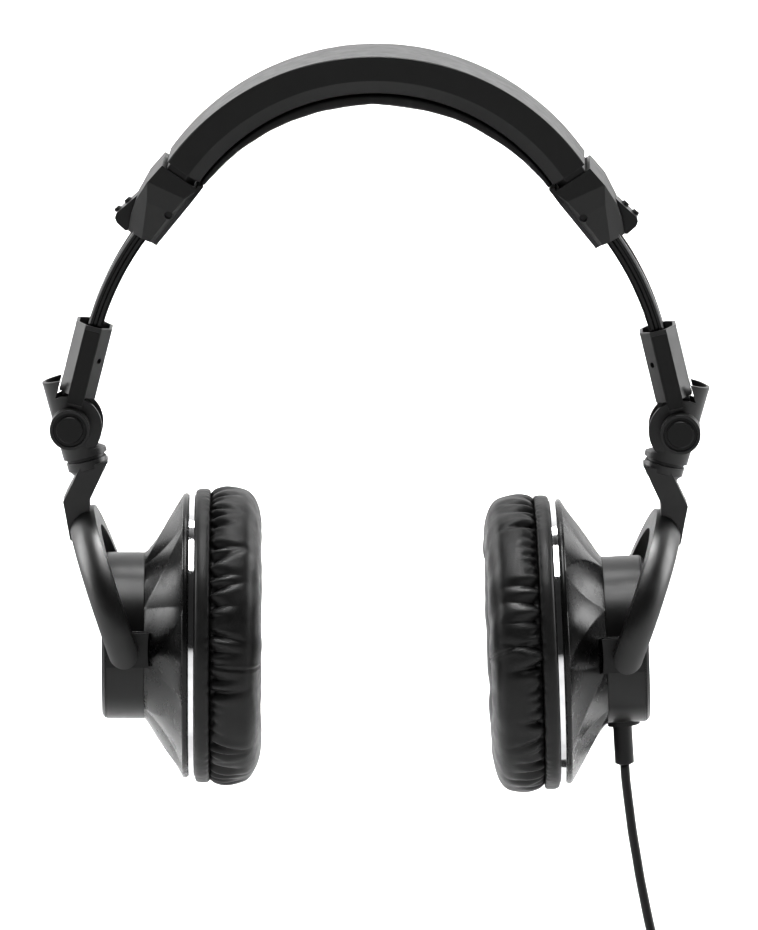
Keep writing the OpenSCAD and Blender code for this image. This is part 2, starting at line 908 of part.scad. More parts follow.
cable_socket();
cable_plug_pin();
cable_plug_boot();
cable();
cable_coil();
cable_tie();
jack_pin();
jack_boot();
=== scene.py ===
import json
import math

import bpy
import numpy as np
from mathutils import Matrix, Vector


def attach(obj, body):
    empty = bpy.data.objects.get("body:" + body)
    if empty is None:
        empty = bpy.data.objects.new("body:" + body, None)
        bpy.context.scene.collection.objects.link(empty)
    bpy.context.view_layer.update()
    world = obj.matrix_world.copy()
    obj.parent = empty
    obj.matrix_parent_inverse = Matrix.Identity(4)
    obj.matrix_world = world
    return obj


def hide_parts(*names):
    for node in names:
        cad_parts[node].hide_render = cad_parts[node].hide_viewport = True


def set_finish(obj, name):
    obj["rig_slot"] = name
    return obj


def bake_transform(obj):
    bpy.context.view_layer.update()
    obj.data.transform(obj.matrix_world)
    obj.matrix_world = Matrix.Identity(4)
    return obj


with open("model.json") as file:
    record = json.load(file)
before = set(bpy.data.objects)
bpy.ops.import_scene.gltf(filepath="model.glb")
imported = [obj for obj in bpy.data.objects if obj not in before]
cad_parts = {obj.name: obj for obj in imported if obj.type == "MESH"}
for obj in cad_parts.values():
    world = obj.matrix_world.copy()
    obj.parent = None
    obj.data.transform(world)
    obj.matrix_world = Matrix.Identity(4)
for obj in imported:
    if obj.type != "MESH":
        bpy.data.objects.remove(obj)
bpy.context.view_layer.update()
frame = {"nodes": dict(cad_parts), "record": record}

MM = 0.001
SIDES = ("left", "right")

# ---- camera: where the photograph was taken from, in degrees and metres ----

AZIMUTH, ELEVATION, ROLL = 0.88, 9.33, -0.275
DISTANCE = 3.8
AIM_RIGHT, AIM_UP = 0.00112, -0.11325    # the middle of the picture, from the origin
VIEW_HEIGHT = 0.2894                     # height of the picture at the object
SENSOR = 36                              # height of the sensor, in millimetres


def add_camera():
    a, e, roll = (math.radians(v) for v in (AZIMUTH, ELEVATION, ROLL))
    right = Vector((math.cos(a), math.sin(a), 0))
    up = Vector((-math.sin(a) * math.sin(e), math.cos(a) * math.sin(e), math.cos(e)))
    back = right.cross(up)
    across = right * math.cos(roll) - up * math.sin(roll)
    along = right * math.sin(roll) + up * math.cos(roll)
    data = bpy.data.cameras.new("camera")
    data.sensor_fit = "VERTICAL"
    data.sensor_height = SENSOR
    data.lens = SENSOR * DISTANCE / VIEW_HEIGHT
    data.clip_end = 60
    camera = bpy.data.objects.new("camera", data)
    place = right * AIM_RIGHT + up * AIM_UP + back * DISTANCE
    turned = Matrix((across, along, back)).transposed().to_4x4()
    camera.matrix_world = Matrix.Translation(place) @ turned
    bpy.context.scene.collection.objects.link(camera)
    bpy.context.scene.camera = camera


add_camera()


# ---- mesh helpers ----

def mesh_object(name, points, faces, smooth=True):
    mesh = bpy.data.meshes.new(name)
    mesh.from_pydata([tuple(p) for p in points], [], faces)
    mesh.validate()
    mesh.update()
    if smooth:
        mesh.polygons.foreach_set("use_smooth", [True] * len(mesh.polygons))
    obj = bpy.data.objects.new(name, mesh)
    bpy.context.scene.collection.objects.link(obj)
    return obj


def grid_faces(rows, cols, wrap_rows, wrap_cols, flip=False):
    """Quads of a grid of points, row by row."""
    faces = []
    for i in range(rows if wrap_rows else rows - 1):
        for j in range(cols if wrap_cols else cols - 1):
            a, b = i * cols + j, i * cols + (j + 1) % cols
            c, d = ((i + 1) % rows) * cols + (j + 1) % cols, ((i + 1) % rows) * cols + j
            faces.append((a, d, c, b) if flip else (a, b, c, d))
    return faces


def tube_faces(rings, sides, flip=False):
    """Quads of a tube made of rings, and its two ends."""
    first = tuple(range(sides))
    last = tuple(range((rings - 1) * sides, rings * sides))
    ends = [first, last[::-1]] if flip else [first[::-1], last]
    return grid_faces(rings, sides, False, True, flip) + ends


def turns(count):
    """Angles of points set evenly round a circle."""
    return np.arange(count) * 2 * math.pi / count


def distances(points):
    """How far along a polyline each of its points is."""
    return np.concatenate([[0], np.cumsum(np.linalg.norm(np.diff(points, axis=0), axis=1))])


def resample(points, step):
    """Points about a step apart along a polyline."""
    p = np.asarray(points, float)
    s = distances(p)
    count = max(int(round(s[-1] / step)), 3)
    at = np.linspace(0, s[-1], count + 1)
    return np.stack([np.interp(at, s, p[:, k]) for k in range(p.shape[1])], axis=1)


def smooth_curve(points, per_span):
    """A Catmull-Rom curve through the points."""
    p = np.asarray(points, float)
    p = np.vstack([2 * p[0] - p[1], p, 2 * p[-1] - p[-2]])
    out = []
    for i in range(1, len(p) - 2):
        for t in np.arange(per_span) / per_span:
            a, b, c, d = p[i - 1], p[i], p[i + 1], p[i + 2]
            out.append(0.5 * (2 * b + (c - a) * t + (2 * a - 5 * b + 4 * c - d) * t ** 2
                              + (3 * b - a - 3 * c + d) * t ** 3))
    out.append(p[-2])
    return np.array(out)


def beside(path):
    """Unit vectors square to a flat path, to the right of its direction."""
    along = np.gradient(path, axis=0)
    across = np.stack([along[:, 1], -along[:, 0]], axis=1)
    return across / np.linalg.norm(across, axis=1)[:, None]


def tube(name, path, radius, sides=14):
    """A round tube along a path, with flat ends."""
    path = np.asarray(path, float)
    tangent = np.gradient(path, axis=0)
    tangent /= np.linalg.norm(tangent, axis=1)[:, None]
    side = np.cross(tangent[0], (0, 1, 0))
    turn = turns(sides)[:, None]
    rings = []
    for p, t in zip(path, tangent):
        side = side - t * side.dot(t)
        side /= np.linalg.norm(side)
        other = np.cross(t, side)
        rings.append(p + radius * (np.cos(turn) * side + np.sin(turn) * other))
    return mesh_object(name, np.vstack(rings), tube_faces(len(path), sides, flip=True))


# ---- the lead: LEAD_ROUTE and TAIL_ROUTE repeat the points in the part's source ----

LEAD_D = 3 * MM
LEAD_ROUTE = [
    (78.72, 0.4, -209.45), (79, 0.4, -213.4), (79.6, 0.3, -218.5), (80.4, 0.2, -224.5),
    (81.3, 0.1, -231), (82.5, 0, -238), (83.8, -0.1, -245.5), (85.3, -0.2, -253),
    (86.9, -0.4, -260.5), (88.7, -1, -267.5), (90.1, -1.9, -273), (91.1, -2.8, -277.2),
]
# From the end of LEAD_ROUTE to the coil's first turn
INTO_COIL = [(92.1, -4, -281), (93.1, -5.5, -286.5), (93.5, -6.2, -291)]
TAIL_ROUTE = [
    (91.2, 9.4, -289), (91.4, 9.4, -294), (91.4, 9.4, -299.5),
    (91.2, 9.2, -305), (90.8, 9, -310.5), (90.4, 8.8, -316),
]
COIL_AT = (75.5, 0, -292)
OUTER_TURN, INNER_TURN = 18.05, 14.95    # radii of the coil's two layers
CORE_TURN = 11.9                         # radius of the turn that leads back through its middle
SIDE_Y = 6.2                             # the layers run between -SIDE_Y and SIDE_Y
TURNS = 4                                # in each layer
PER_TURN = 24                            # points of the route in each turn
STEP = 1.1                               # between the rings of the tube


def from_coil(point):
    """Angle and radius of a point about the coil's axis."""
    across, up = point[0] - COIL_AT[0], point[2] - COIL_AT[2]
    return math.atan2(up, across), math.hypot(up, across)


def softened(values):
    """The mean of each value and its two neighbours on either side."""
    return np.convolve(np.pad(values, 2, "edge"), np.ones(5) / 5, "valid")


def coil_points():
    """Down one layer, back up the next, through the middle and out beside the coil, turning clockwise."""
    start, _ = from_coil(INTO_COIL[-1])
    end, tail_r = from_coil(TAIL_ROUTE[0])
    tail_y = TAIL_ROUTE[0][1]
    last = 2 * TURNS + 2 + (start - end) / (2 * math.pi)
    # Radius and place along the axis, after so many turns
    stages = [
        (0, OUTER_TURN, -SIDE_Y),
        (TURNS, OUTER_TURN, SIDE_Y),
        (TURNS + 0.3, INNER_TURN, SIDE_Y),
        (2 * TURNS + 0.3, INNER_TURN, -SIDE_Y),
        (2 * TURNS + 0.65, CORE_TURN, -SIDE_Y),
        (last - 0.55, CORE_TURN, tail_y),
        (last, tail_r, tail_y),
    ]
    after, radii, across = zip(*stages)
    at = np.arange(1, int(last * PER_TURN)) / PER_TURN
    r = softened(np.interp(at, after, radii))
    y = softened(np.interp(at, after, across))
    angle = start - 2 * math.pi * at
    return np.stack([COIL_AT[0] + r * np.cos(angle), y, COIL_AT[2] + r * np.sin(angle)], axis=1)


def make_lead():
    route = smooth_curve(np.vstack([LEAD_ROUTE, INTO_COIL, coil_points(), TAIL_ROUTE]), 6)
    route = resample(route, STEP) * MM
    lead = tube("lead", route, LEAD_D / 2)
    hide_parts("cable", "cable_coil")
    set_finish(lead, "lead_jacket")
    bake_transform(lead)
    return lead


lead = make_lead()


# ---- the cups' own frame: millimetres, as drawn at +X, turned to where each cup rests ----

SWIVEL_FOOT, PIVOT = Vector((76.4, 0, -169.4)), Vector((78.4, 0, -169.4))
SWIVEL_LEAN = 14.1
REST = {"left": (-1, 1.25, 0), "right": (1, 1.75, -2.5)}    # side, swivel and tilt


def turned_about(point, axis, degrees):
    turn = Matrix.Rotation(math.radians(degrees), 4, axis)
    return Matrix.Translation(point) @ turn @ Matrix.Translation(-point)


def cup_matrix(side):
    s, swivel, tilt = REST[side]
    lean = math.radians(SWIVEL_LEAN)
    m = turned_about(SWIVEL_FOOT, Vector((math.sin(lean), 0, math.cos(lean))), swivel * s)
    m = m @ turned_about(PIVOT, "Y", tilt)
    return Matrix.Scale(MM, 4) @ Matrix.Scale(s, 4, (1, 0, 0)) @ m


def cup_object(name, side, points, faces):
    """A mesh given about the cup's axis, put in place. Mirrored cups have their faces turned over."""
    m = np.array(cup_matrix(side))
    p = np.asarray(points, float)
    p = p @ m[:3, :3].T + m[:3, 3]
    if side == "left":
        faces = [tuple(reversed(f)) for f in faces]
    obj = mesh_object(name, p, faces)
    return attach(obj, side + "_cup")


def about_axis(x, r, turn):
    """Points at x along the cup's axis, r from it and turn round it, from straight up to the back."""
    return np.stack([x, r * np.sin(turn), r * np.cos(turn) + PIVOT.z], axis=-1)


# ---- ear pads ----

# Section of the cushion from the outer seam, over the face, to the inner seam:
# along the axis, and radius
PAD_SECTION = [
    (51.45, 43.5), (50.9, 44.3), (49.7, 45.4), (47.4, 46.25), (45.1, 46.5), (42, 46.15), (39.6, 45.25),
    (37.7, 43.1), (36.5, 40), (35.8, 36.5), (35.6, 33.6), (36.1, 30.6), (37.3, 27.8), (39.4, 25.9),
    (42.5, 25.1), (46, 25.3), (49, 26.3), (51.0, 28.2), (51.6, 29.5),
]
PAD_BACK = [(51.7, 31), (51.75, 37), (51.7, 43)]
# Section of the skirt that is stretched over the baffle's edge
SKIRT_SECTION = [
    (51.55, 43.4), (51.5, 44.6), (51.75, 45.5), (52.5, 46.0), (53.9, 46.15), (55.2, 45.95),
    (55.95, 45.4), (56.12, 44.6), (56.1, 43.55),
]
AROUND = 620                                   # points round the pad
SEAM_R = 46.4                                  # turns distances along the seam into angles
PAD_SEED = {"left": 11, "right": 23}
SWELL_SEED = {"left": 5, "right": 6}
SKIRT_SEED = 9

# Kinds of gather. Width, reach from the seam, depth and the gap to the next are each drawn between two
# values, and the slant is drawn about none, with this spread.
DEEP = {"width": (0.95, 1.35), "reach": (11, 17), "depth": (1.5, 2.2), "gap": (4.4, 6.2), "slant": 0.003}
SHALLOW = {"width": (0.55, 0.85), "reach": (5, 9), "depth": (0.6, 1.0), "gap": (2.8, 4.2), "slant": 0.003}
INNER = {"width": (0.6, 1.0), "reach": (4, 10), "depth": (0.3, 0.7), "gap": (4, 8), "slant": 0.01}
DEEP_SHARE = 0.55                              # of the gathers along the outer seam

# The seam that joins the ends of the cover
JOIN = {"left": (-1.63, -0.002), "right": (-1.41, -0.0064)}    # its place, and its slant
JOIN_R = 44                                    # turns its distances into angles
JOIN_PIVOT = 8                                 # along the section, where it crosses its place
JOIN_END, JOIN_FADE = 36, 8                    # where it ends, and the length over which it fades


def smoothstep(x):
    x = np.clip(x, 0, 1)
    return x * x * (3 - 2 * x)


def angle_from(turn, centre):
    return (turn - centre + math.pi) % (2 * math.pi) - math.pi


def wrinkle(turn, s, centre, width, slant, reach, depth):
    """One gather: a sharp valley with soft shoulders, which fades as it runs from the seam."""
    off = np.abs((angle_from(turn, centre) - slant * s) * SEAM_R)
    valley = np.exp(-(off / width) ** 1.15)
    shoulder = np.exp(-((off - 2.2 * width) / (1.3 * width)) ** 2)
    return depth * smoothstep(1 - s / reach) * (0.3 * shoulder - valley)


def gathers(rng, turn, s, *kinds):
    """Gathers all round a seam, of one kind, or of two that are mixed."""
    lift = np.zeros(turn.shape)
    centre = 0.0
    while centre < 2 * math.pi - 0.05:
        kind = kinds[0] if len(kinds) == 1 or rng.random() < DEEP_SHARE else kinds[1]
        lift += wrinkle(turn, s, centre, rng.uniform(*kind["width"]), rng.normal(0, kind["slant"]),
                        rng.uniform(*kind["reach"]), rng.uniform(*kind["depth"]))
        centre += rng.uniform(*kind["gap"]) / SEAM_R
    return lift


def joined(side, turn, s, reach):
    """The join of the cover's ends: a fine groove between low shoulders."""
    join, slant = JOIN[side]
    off = np.abs(angle_from(turn, join) - slant * (s - JOIN_PIVOT)) * JOIN_R
    groove = 0.5 * np.exp(-(off / 0.42) ** 1.3) * (s < reach)
    shoulder = 0.16 * np.exp(-((off - 0.9) / 0.6) ** 2)
    return (shoulder - groove) * smoothstep((JOIN_END - s) / JOIN_FADE)


def swells(turn, s, seed, waves, height):
    """Low swells that repeat round the ring."""
    rng = np.random.default_rng(seed)
    total = np.zeros(turn.shape)
    for _ in range(waves):
        k = rng.integers(3, 26)
        total += rng.normal() / math.sqrt(k) * np.sin(
            k * turn + rng.uniform(0, 6.28) + s * rng.uniform(-0.35, 0.35))
    return total * height


def ring_object(name, side, x, r, turn):
    """A closed ring from its section at each turn."""
    points = about_axis(x, r, turn).reshape(-1, 3)
    return cup_object(name, side, points, grid_faces(*x.shape, True, True, flip=True))


def make_cushion(side, rng):
    front = resample(smooth_curve(PAD_SECTION, 10), 0.55)
    section = np.vstack([front, PAD_BACK])
    turn, s = np.meshgrid(turns(AROUND), distances(section), indexing="ij")
    reach = s[0, len(front) - 1]
    lift = gathers(rng, turn, s, DEEP, SHALLOW)
    lift += gathers(rng, turn, reach - s, INNER)
    lift += joined(side, turn, s, reach)
    lift += swells(turn, s, SWELL_SEED[side], 22, 0.16)
    fade = smoothstep(s / 1.2) * smoothstep((reach - s) / 1.2)
    lift *= np.where(s <= reach, fade, 0)
    x, r = (section[:, k] + lift * beside(section)[:, k] for k in (0, 1))
    return ring_object(side + "_pad_cushion", side, x, r, turn)


def make_skirt(side, rng):
    section = resample(smooth_curve(SKIRT_SECTION, 8), 0.35)
    count = len(section)
    turn, k = np.meshgrid(turns(AROUND), np.arange(count), indexing="ij")
    ripple = np.zeros(turn.shape)
    for _ in range(14):
        waves = rng.integers(30, 120)
        ripple += rng.normal() * np.sin(waves * turn + rng.uniform(0, 6.28))
    edge = np.exp(-((k - 5) / 4.0) ** 2)
    top = np.exp(-((k - count / 2) / (count / 3)) ** 4)
    ripple = 0.045 * ripple * edge + swells(turn, k * 0.2, SKIRT_SEED, 10, 0.06)
    x = section[:, 0] - 0.5 * ripple * edge
    r = section[:, 1] + ripple * top
    return ring_object(side + "_pad_skirt", side, x, r, turn)


def make_ear_pad(side):
    rng = np.random.default_rng(PAD_SEED[side])
    cushion, skirt = make_cushion(side, rng), make_skirt(side, rng)
    for piece in (cushion, skirt):
        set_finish(piece, "pad_leatherette")
    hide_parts(side + "_ear_pad")
    return cushion, skirt


# ---- cup shells: a cone of triangular facets that swirl round it ----

CONE_HUB, CONE_RIM = (72.0, 26.1), (60.0, 44.4)    # along the axis, and radius
HUB_LIP = [(70.2, 23.2), (70.2, 12), (71.9, 12), (72, 20)]
RIM_LIP = [
    (59.6, 44.62), (59.35, 44.7), (58.9, 44.7), (58.6, 44.6), (58.38, 44.35), (58.3, 44.0),
    (58.3, 41.1), (60.3, 40.6),
]
CONE_AROUND, CONE_ROWS = 1000, 72
FACETS = 9
FACET_DEPTH = 1.35
FACET_START = 0.35       # how far round the ridges are shifted
SWIRL = 0.5              # how far a ridge turns between the hub and the rim
SHARP = 40               # edges over so many degrees are drawn sharp


def facet_depth(turn, out, side):
    """Depth below the cone. out is 0 at the hub and 1 at the rim."""
    swirl = SWIRL if side == "right" else -SWIRL
    u = ((turn + FACET_START + swirl * out) * FACETS / (2 * math.pi)) % 1
    if side == "left":
        u = (1 - u) % 1
    valley = np.clip(0.06 + 0.88 * out, 0.06, 0.94)
    wave = np.where(u < valley, u / valley, (1 - u) / (1 - valley))
    return FACET_DEPTH * wave * np.clip(4 * out * (1 - out), 0, 1) ** 0.8


def softened_facets(depth):
    """Rounds the ridges slightly, round the cone and then along it."""
    for _ in range(2):
        depth = (np.roll(depth, 1, 0) + 2 * depth + np.roll(depth, -1, 0)) / 4
        depth[:, 1:-1] = (depth[:, :-2] + 2 * depth[:, 1:-1] + depth[:, 2:]) / 4
    return depth


def make_cup_shell(side):
    turn, out = np.meshgrid(turns(CONE_AROUND), np.linspace(0, 1, CONE_ROWS), indexing="ij")
    depth = softened_facets(facet_depth(turn, out, side))
    along = np.subtract(CONE_RIM, CONE_HUB)
    inward = np.array([-along[1], along[0]]) / np.linalg.norm(along)
    cone = [CONE_HUB[k] + along[k] * out + inward[k] * depth for k in (0, 1)]
    before, after = (np.array(lip).T[:, None].repeat(CONE_AROUND, 1) for lip in (HUB_LIP, RIM_LIP))
    x, r = (np.concatenate([before[k], cone[k], after[k]], axis=1) for k in (0, 1))
    points = about_axis(x, r, turn[:, :1].repeat(x.shape[1], 1)).reshape(-1, 3)
    shell = cup_object(side + "_cup_cone", side, points, grid_faces(*x.shape, True, True))
    shell.data.set_sharp_from_angle(angle=math.radians(SHARP))
    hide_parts(side + "_cup_shell")
    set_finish(shell, "cup_gloss")
    return shell


SCRIM_R = 30.0
SCRIM_X = 51.78          # where its rim lies on the baffle
SCRIM_DOME = 1.1


def make_scrim(side):
    """The cloth over the driver, slightly domed towards the ear."""
    around, rows = 96, 24
    turn, out = np.meshgrid(turns(around), np.linspace(0.02, 1, rows), indexing="ij")
    x = SCRIM_X - SCRIM_DOME * (1 - out ** 2) - 0.05 * np.sin(9 * turn) * out ** 3
    points = about_axis(x, SCRIM_R * out, turn).reshape(-1, 3)
    faces = grid_faces(around, rows, True, False)
    faces.append(tuple(i * rows for i in range(around)))
    scrim = cup_object(side + "_driver_cloth", side, points, faces)
    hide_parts(side + "_ear_scrim")
    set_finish(scrim, "scrim_fabric")
    return scrim


# ---- headband pad ----

BAND_Z = -63.3           # centre of the band's curve
PAD_ARC_R = 68.8         # of the pad's underside, which passes through the origin
PAD_TOP_R = 67.25        # just under the shell's side walls
PAD_HALF_ANGLE = 54.35
PAD_HALF_Y = 12.7
SQUARENESS = 0.3, 0.4    # of the section, across and up: 1 is an ellipse, 0 a rectangle
BAND_SEED = 3


def band_swell(rng, angle, y):
    """Long low swells of the padding."""
    swell = np.zeros(angle.shape)
    for _ in range(16):
        k = rng.uniform(12, 60)
        height = rng.normal() / k
        swell += height * np.sin(k * angle + rng.uniform(0, 6.28) + y * rng.uniform(-0.12, 0.12))
    return swell


def band_creases(rng, angle, y):
    """Short creases of the cover, across the band."""
    crease = np.zeros(angle.shape)
    for _ in range(26):
        at, width = rng.uniform(-0.92, 0.92), rng.uniform(0.006, 0.014)
        height = rng.uniform(0.3, 1)
        off = angle - at - 0.004 * y * rng.uniform(-1, 1)
        crease += height * np.exp(-(off / width) ** 2)
    return crease


def make_headband_pad():
    rows, cols = 420, 96
    edge = math.radians(PAD_HALF_ANGLE)
    angle, around = np.meshgrid(np.linspace(-edge, edge, rows), turns(cols), indexing="ij")
    c, s = np.cos(around), np.sin(around)
    y = PAD_HALF_Y * np.sign(c) * np.abs(c) ** SQUARENESS[0]
    up = np.sign(s) * np.abs(s) ** SQUARENESS[1]
    drop = PAD_ARC_R + BAND_Z
    low_r = -drop * np.cos(angle) + np.sqrt(PAD_ARC_R ** 2 - (drop * np.sin(angle)) ** 2)
    r = (PAD_TOP_R + low_r) / 2 + (PAD_TOP_R - low_r) / 2 * up
    rng = np.random.default_rng(BAND_SEED)
    swell = band_swell(rng, angle, y)
    crease = band_creases(rng, angle, y) * (np.abs(c) > 0.6) * np.clip(0.4 - up, 0, 1)
    r = r + 0.5 * swell * np.clip(-up, 0, 1) + 0.1 * crease
    y = y * (1 - 0.018 * crease)
    points = np.stack([r * np.sin(angle), y, r * np.cos(angle) + BAND_Z], axis=-1).reshape(-1, 3) * MM
    pad = mesh_object("headband_cushion", points, tube_faces(rows, cols))
    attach(pad, "headband")
    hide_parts("headband_pad")
    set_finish(pad, "band_leatherette")
    return pad


# ---- strap round the coil ----

STRAP_HALF_Y, STRAP_LOW, STRAP_HIGH = 8.15, 13.05, 20.0    # the loop it makes round the coil's section
STRAP_CORNER = 1.6
STRAP_HALF_ANGLE = 6.5   # half its width, as an angle about the coil
STRAP_THICK = 0.42       # half its thickness
TAB_END = -3.5           # where its free end stops
# Corners of its section, as shares of half its width and half its thickness
STRAP_SECTION = [
    (-1, -0.7), (-1, 0.7), (-0.96, 1), (0.96, 1), (1, 0.7), (1, -0.7), (0.96, -1), (-0.96, -1),
]


def strap_path():
    """Once round the coil's section, as y and radius, with the free end laid over the start."""
    near, far = STRAP_HALF_Y - STRAP_CORNER, STRAP_CORNER - STRAP_HALF_Y
    top, bottom = STRAP_HIGH - STRAP_CORNER, STRAP_LOW + STRAP_CORNER
    loop = []
    for y, r, start in ((near, top, 0), (far, top, 90), (far, bottom, 180), (near, bottom, 270)):
        for t in np.radians(np.arange(start, start + 91, 15)):
            loop.append((y + STRAP_CORNER * math.cos(t), r + STRAP_CORNER * math.sin(t)))
    tab = [(y, STRAP_HIGH + 0.95) for y in np.linspace(near, TAB_END, 9)]
    return np.vstack([resample(loop + loop[:1], 0.8), tab])


def make_strap():
    """A hook-and-loop strap that holds the coil together at its top."""
    path = strap_path()
    points = []
    for place, normal in zip(path, beside(path)):
        for a, t in STRAP_SECTION:
            y, r = place + normal * t * STRAP_THICK
            turn = math.radians(90 + a * STRAP_HALF_ANGLE)
            points.append((COIL_AT[0] + r * math.cos(turn), y, COIL_AT[2] + r * math.sin(turn)))
    strap = mesh_object("coil_strap", np.array(points) * MM, tube_faces(len(path), len(STRAP_SECTION)))
    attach(strap, "lead")
    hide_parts("cable_tie")
    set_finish(strap, "tie_strap")
    return strap


# ---- materials ----

NOISE_SPAN = 0.3, 0.7    # most values of a noise lie between these


class Shader:
    """The nodes of one procedural material. Its textures lie in the object's metres."""

    def __init__(self, name, colour, roughness, metallic=0.0, **sockets):
        self.material = bpy.data.materials.new(name)
        self.material.use_nodes = True
        self.tree = self.material.node_tree
        self.bsdf = self.tree.nodes["Principled BSDF"]
        self.bsdf.inputs["Metallic"].default_value = metallic
        self.bsdf.inputs["Base Color"].default_value = (*colour, 1)
        self.bsdf.inputs["Roughness"].default_value = roughness
        for key, value in sockets.items():
            self.bsdf.inputs[key.replace("_", " ")].default_value = value
        self.colour = colour
        self.roughness = roughness
        self.place = self.node("ShaderNodeTexCoord").outputs["Object"]
        self.normal = None

    def node(self, kind, **values):
        n = self.tree.nodes.new(kind)
        for key, value in values.items():
            if key in n.inputs:
                n.inputs[key].default_value = value
            else:
                setattr(n, key, value)
        return n

    def link(self, a, b):
        self.tree.links.new(a, b)

    def noise(self, size, detail=3, rough=0.5, stretch=None):
        n = self.node("ShaderNodeTexNoise", Scale=1.0, Detail=detail, Roughness=rough)
        m = self.node("ShaderNodeMapping")
        scale = [1 / size] * 3 if stretch is None else [1 / (size * v) for v in stretch]
        m.inputs["Scale"].default_value = scale
        self.link(self.place, m.inputs["Vector"])
        self.link(m.outputs["Vector"], n.inputs["Vector"])
        return n.outputs["Fac"]

    def cells(self, size):
        """Distance to the edge of irregular cells."""
        n = self.node("ShaderNodeTexVoronoi", feature="DISTANCE_TO_EDGE", Scale=1 / size)
        self.link(self.place, n.inputs["Vector"])
        return n.outputs["Distance"]

    def ranged(self, value, low, high, from_low=0.0, from_high=1.0):
        n = self.node("ShaderNodeMapRange")
        limits = {"From Min": from_low, "From Max": from_high, "To Min": low, "To Max": high}
        for key, limit in limits.items():
            n.inputs[key].default_value = limit
        self.link(value, n.inputs["Value"])
        return n.outputs["Result"]

    def bump(self, height, strength, distance):
        n = self.node("ShaderNodeBump", Strength=strength, Distance=distance)
        self.link(height, n.inputs["Height"])
        if self.normal is not None:
            self.link(self.normal, n.inputs["Normal"])
        self.normal = n.outputs["Normal"]

    def rounded(self, radius):
        """Softens the edges that the moulded piece really has."""
        n = self.node("ShaderNodeBevel", samples=4, Radius=radius)
        self.normal = n.outputs["Normal"]

    def vary_colour(self, value, darker, lighter):
        ramp = self.node("ShaderNodeValToRGB")
        for stop, position, factor in zip(ramp.color_ramp.elements, NOISE_SPAN, (darker, lighter)):
            stop.position = position
            stop.color = (*[c * factor for c in self.colour], 1)
        self.link(value, ramp.inputs["Fac"])
        self.link(ramp.outputs["Color"], self.bsdf.inputs["Base Color"])

    def vary_roughness(self, value, spread):
        varied = self.ranged(value, self.roughness - spread, self.roughness + spread, *NOISE_SPAN)
        self.link(varied, self.bsdf.inputs["Roughness"])

    def done(self):
        if self.normal is not None:
            self.link(self.normal, self.bsdf.inputs["Normal"])
        return self.material


def plastic(name, colour, roughness, grain=0.35, depth=0.25, edge=0.25, **sockets):
    """Moulded plastic: fine spark grain, soft edges, faint handling marks."""
    m = Shader(name, colour, roughness, **sockets)
    m.rounded(edge * MM)
    m.bump(m.noise(grain * MM, 2), depth, 0.02 * MM)
    m.vary_colour(m.noise(9 * MM, 4), 0.8, 1.25)
    m.vary_roughness(m.noise(5 * MM, 5, 0.65), 0.04)
    return m.done()


def leatherette(name, colour, roughness, pebble, depth):
    """Coated cloth: pebbled grain, finer pores, and sheen where it has been handled."""
    m = Shader(name, colour, roughness, Specular_IOR_Level=0.42)
    m.bump(m.ranged(m.cells(pebble * MM), 0, 1, 0, 0.35), depth, 0.08 * MM)
    m.bump(m.noise(0.3 * MM, 3), 0.3, 0.02 * MM)
    m.bump(m.noise(2.2 * MM, 3, stretch=(1.6, 1, 1)), 0.18, 0.12 * MM)
    m.vary_colour(m.noise(6 * MM, 4), 0.75, 1.3)
    m.vary_roughness(m.noise(3 * MM, 4), 0.06)
    return m.done()


def metal(name, colour, roughness, brushed=None):
    """Metal with fine scratches, which are stretched where it is brushed."""
    m = Shader(name, colour, roughness, metallic=1.0)
    m.rounded(0.15 * MM)
    m.bump(m.noise(0.25 * MM, 2, stretch=brushed), 0.12, 0.01 * MM)
    m.vary_colour(m.noise(4 * MM, 3), 0.9, 1.06)
    m.vary_roughness(m.noise(2 * MM, 4), 0.03)
    return m.done()


def cloth(name, colour, thread):
    """A plain weave: two sets of threads over and under each other."""
    m = Shader(name, colour, 0.85, Sheen_Weight=0.3, Sheen_Roughness=0.4)
    both = m.node("ShaderNodeMath", operation="MULTIPLY")
    for direction, factor in zip("YZ", both.inputs):
        w = m.node("ShaderNodeTexWave", wave_type="BANDS", bands_direction=direction, wave_profile="SIN",
                   Scale=1 / (2 * thread * MM), Distortion=0.6, Detail=1.0)
        m.link(m.place, w.inputs["Vector"])
        m.link(w.outputs["Fac"], factor)
    m.bump(both.outputs["Value"], 0.6, 0.12 * MM)
    # The colour follows the weave height: lighter on the threads' tops and darker where they dip under each
    # other, which is painted shade between the threads.
    m.vary_colour(both.outputs["Value"], 0.5, 1.6)
    m.vary_roughness(m.noise(1.5 * MM, 2), 0.05)
    return m.done()


